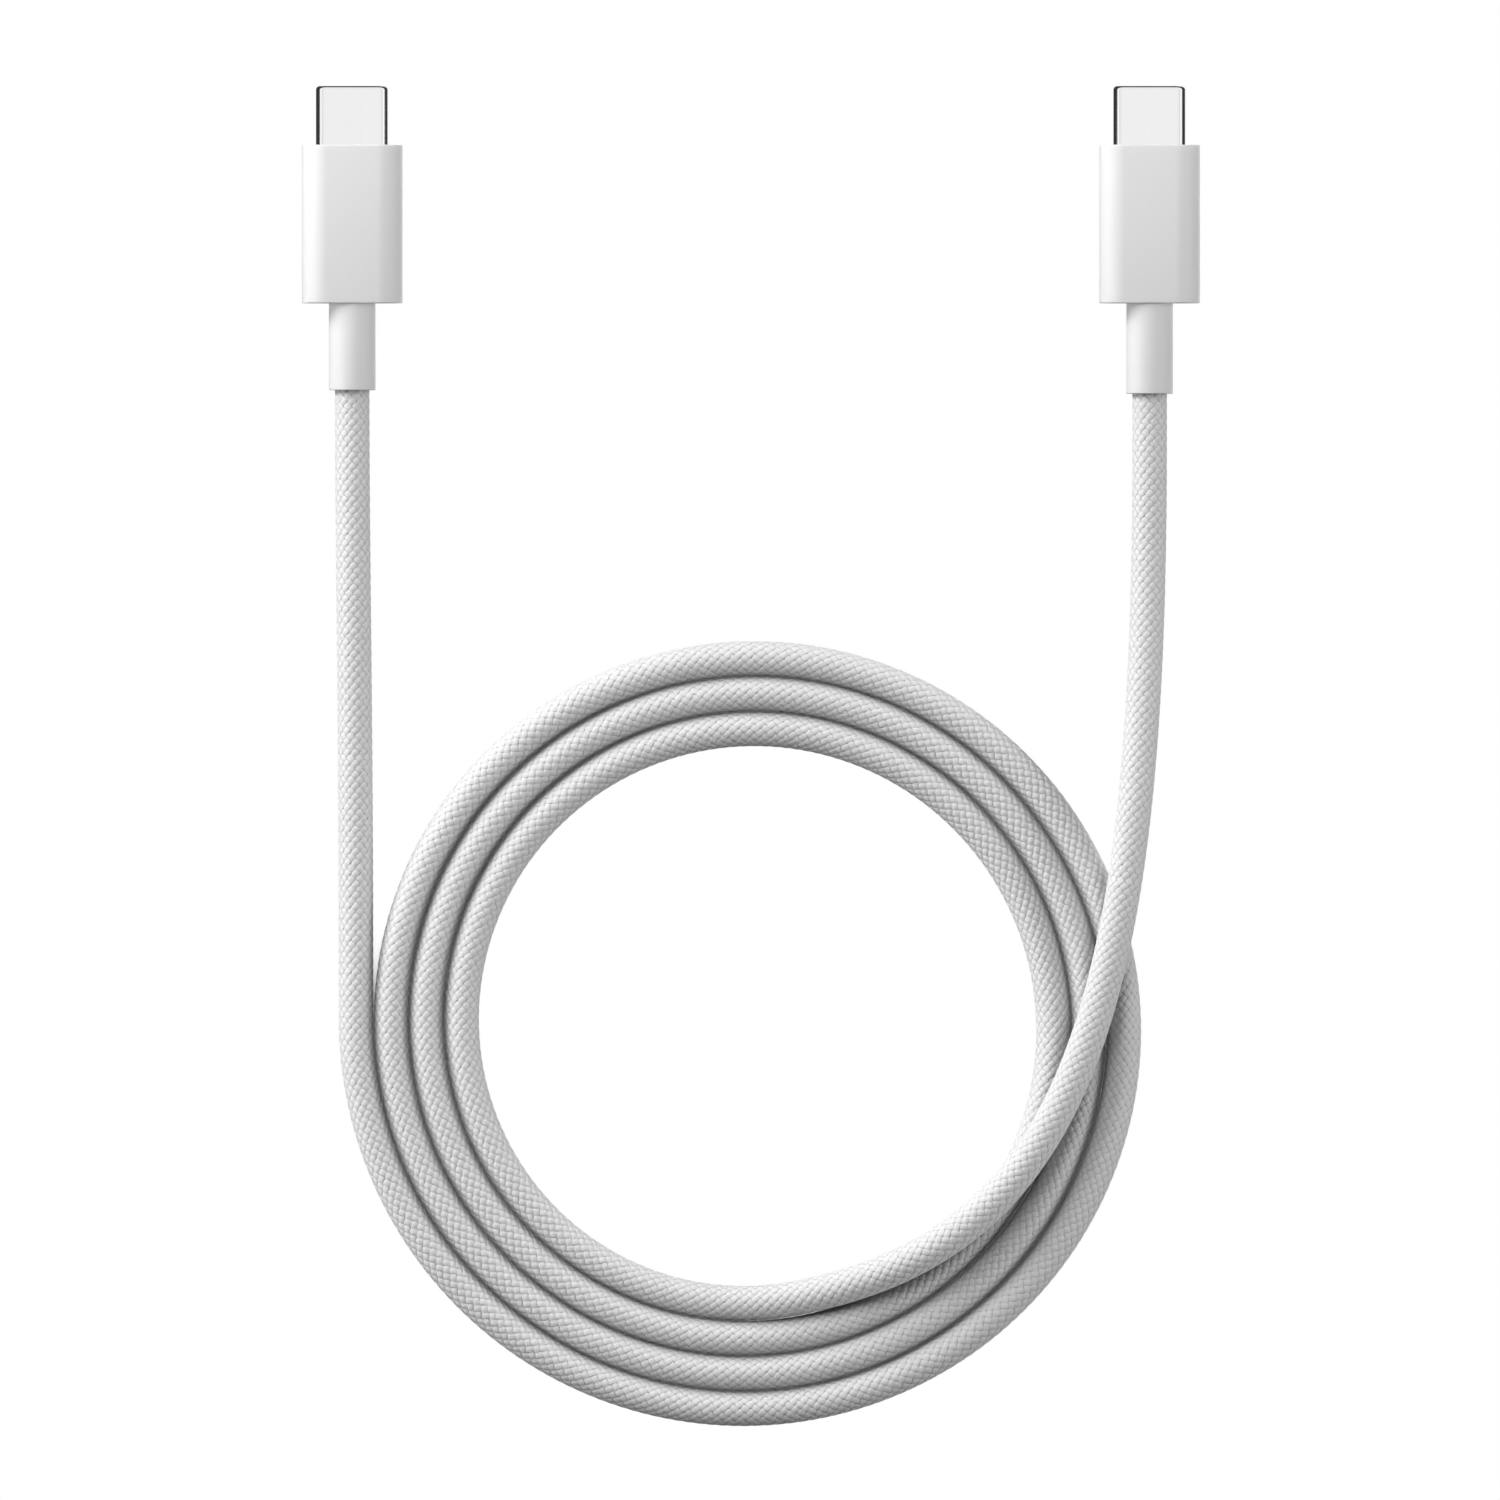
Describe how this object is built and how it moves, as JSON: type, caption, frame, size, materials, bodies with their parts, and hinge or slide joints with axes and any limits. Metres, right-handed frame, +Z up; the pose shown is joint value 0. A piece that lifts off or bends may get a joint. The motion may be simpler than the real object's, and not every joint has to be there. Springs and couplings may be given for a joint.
{
  "type": "charging cable",
  "caption": "Braided charging cable coiled flat, with a reversible metal plug in a slim white housing on each end.",
  "frame": {"origin": "on the table, under the middle of the whole object's box", "axes": "+Z up from the table, +Y towards the plugs' tips, +X from the left plug to the right plug"},
  "size_m": [0.1022, 0.1524, 0.0078],
  "materials": {
    "braid": "white woven textile braid",
    "jacket": "matt soft jacket",
    "foil": "bright foil and sheet",
    "housing": "satin white moulding",
    "inner_mould": "matt grey moulding",
    "plug_metal": "satin nickel plate",
    "insulator": "matt black moulding",
    "contact_gold": "gold plate",
    "spring_steel": "spring steel",
    "board": "green solder mask",
    "chip": "black package",
    "wire_red": "red wire insulation",
    "wire_black": "black wire insulation",
    "wire_green": "green wire insulation",
    "wire_white": "white wire insulation",
    "wire_blue": "blue wire insulation"
  },
  "bodies": {
    "coil": {"coil_sleeve": "braid", "coil_jacket": "jacket", "coil_shield": "foil", "vbus_wire": "wire_red", "gnd_wire": "wire_black", "dplus_wire": "wire_green", "dminus_wire": "wire_white", "cc_wire": "wire_blue"},
    "left_lead_lower": {"left_lead_lower_sleeve": "braid", "left_lead_lower_core": "jacket"},
    "left_lead_middle": {"left_lead_middle_sleeve": "braid", "left_lead_middle_core": "jacket"},
    "left_lead_upper": {"left_lead_upper_sleeve": "braid", "left_lead_upper_core": "jacket"},
    "left_plug": {"left_housing": "housing", "left_strain_relief": "housing", "left_inner_mould": "inner_mould", "left_plug_shell": "plug_metal", "left_insulator": "insulator", "left_vbus_contacts": "contact_gold", "left_gnd_contacts": "contact_gold", "left_cc_contact": "contact_gold", "left_dplus_contact": "contact_gold", "left_dminus_contact": "contact_gold", "left_ground_spring_upper": "spring_steel", "left_ground_spring_lower": "spring_steel", "left_paddle_card": "board", "left_emarker_chip": "chip", "left_shield_can_upper": "foil", "left_shield_can_lower": "foil", "left_stub_sleeve": "braid", "left_stub_core": "jacket"},
    "left_latch_left_arm": {"left_latch_left": "spring_steel"},
    "left_latch_right_arm": {"left_latch_right": "spring_steel"},
    "right_lead_lower": {"right_lead_lower_sleeve": "braid", "right_lead_lower_core": "jacket"},
    "right_lead_middle": {"right_lead_middle_sleeve": "braid", "right_lead_middle_core": "jacket"},
    "right_lead_upper": {"right_lead_upper_sleeve": "braid", "right_lead_upper_core": "jacket"},
    "right_plug": {"right_housing": "housing", "right_strain_relief": "housing", "right_inner_mould": "inner_mould", "right_plug_shell": "plug_metal", "right_insulator": "insulator", "right_vbus_contacts": "contact_gold", "right_gnd_contacts": "contact_gold", "right_cc_contact": "contact_gold", "right_dplus_contact": "contact_gold", "right_dminus_contact": "contact_gold", "right_ground_spring_upper": "spring_steel", "right_ground_spring_lower": "spring_steel", "right_paddle_card": "board", "right_emarker_chip": "chip", "right_shield_can_upper": "foil", "right_shield_can_lower": "foil", "right_stub_sleeve": "braid", "right_stub_core": "jacket"},
    "right_latch_left_arm": {"right_latch_left": "spring_steel"},
    "right_latch_right_arm": {"right_latch_right": "spring_steel"}
  },
  "joints": [
    {"name": "left_lead_swing", "type": "hinge", "parent": "coil", "child": "left_lead_lower", "pos_m": [-0.04501, -0.00736, 0.00219], "axis": [0, 0, 1], "range_deg": [-10, 35], "stiffness_Nm_per_rad": 0.004},
    {"name": "left_lead_lift", "type": "hinge", "parent": "left_lead_lower", "child": "left_lead_middle", "pos_m": [-0.0451, 0.00664, 0.00255], "axis": [1, 0, 0], "range_deg": [0, 40], "stiffness_Nm_per_rad": 0.004},
    {"name": "left_plug_nod", "type": "hinge", "parent": "left_lead_middle", "child": "left_lead_upper", "pos_m": [-0.04524, 0.02064, 0.00283], "axis": [1, 0, 0], "range_deg": [0, 35], "stiffness_Nm_per_rad": 0.004},
    {"name": "left_plug_swing", "type": "hinge", "parent": "left_lead_upper", "child": "left_plug", "pos_m": [-0.04536, 0.03464, 0.0029], "axis": [0, 0, 1], "range_deg": [-35, 35], "stiffness_Nm_per_rad": 0.004},
    {"name": "left_latch_left_spread", "type": "hinge", "parent": "left_plug", "child": "left_latch_left_arm", "pos_m": [-0.0489, 0.06764, 0.0029], "axis": [0, 0, 1], "range_deg": [0, 1.5], "stiffness_Nm_per_rad": 0.00003},
    {"name": "left_latch_right_spread", "type": "hinge", "parent": "left_plug", "child": "left_latch_right_arm", "pos_m": [-0.04186, 0.06764, 0.0029], "axis": [0, 0, 1], "range_deg": [-1.5, 0], "stiffness_Nm_per_rad": 0.00003},
    {"name": "right_lead_swing", "type": "hinge", "parent": "coil", "child": "right_lead_lower", "pos_m": [0.0434, -0.00769, 0.00564], "axis": [0, 0, -1], "range_deg": [-10, 35], "stiffness_Nm_per_rad": 0.004},
    {"name": "right_lead_lift", "type": "hinge", "parent": "right_lead_lower", "child": "right_lead_middle", "pos_m": [0.04462, 0.00625, 0.00434], "axis": [1, 0, 0], "range_deg": [0, 40], "stiffness_Nm_per_rad": 0.004},
    {"name": "right_plug_nod", "type": "hinge", "parent": "right_lead_middle", "child": "right_lead_upper", "pos_m": [0.0452, 0.02024, 0.00312], "axis": [1, 0, 0], "range_deg": [0, 35], "stiffness_Nm_per_rad": 0.004},
    {"name": "right_plug_swing", "type": "hinge", "parent": "right_lead_upper", "child": "right_plug", "pos_m": [0.04537, 0.03424, 0.0029], "axis": [0, 0, -1], "range_deg": [-35, 35], "stiffness_Nm_per_rad": 0.004},
    {"name": "right_latch_left_spread", "type": "hinge", "parent": "right_plug", "child": "right_latch_left_arm", "pos_m": [0.04186, 0.06764, 0.0029], "axis": [0, 0, 1], "range_deg": [0, 1.5], "stiffness_Nm_per_rad": 0.00003},
    {"name": "right_latch_right_spread", "type": "hinge", "parent": "right_plug", "child": "right_latch_right_arm", "pos_m": [0.0489, 0.06764, 0.0029], "axis": [0, 0, 1], "range_deg": [-1.5, 0], "stiffness_Nm_per_rad": 0.00003}
  ],
  "couplings": [
    {"joint": "left_latch_right_spread", "follows": "left_latch_left_spread", "ratio": -1},
    {"joint": "right_latch_right_spread", "follows": "right_latch_left_spread", "ratio": -1}
  ]
}
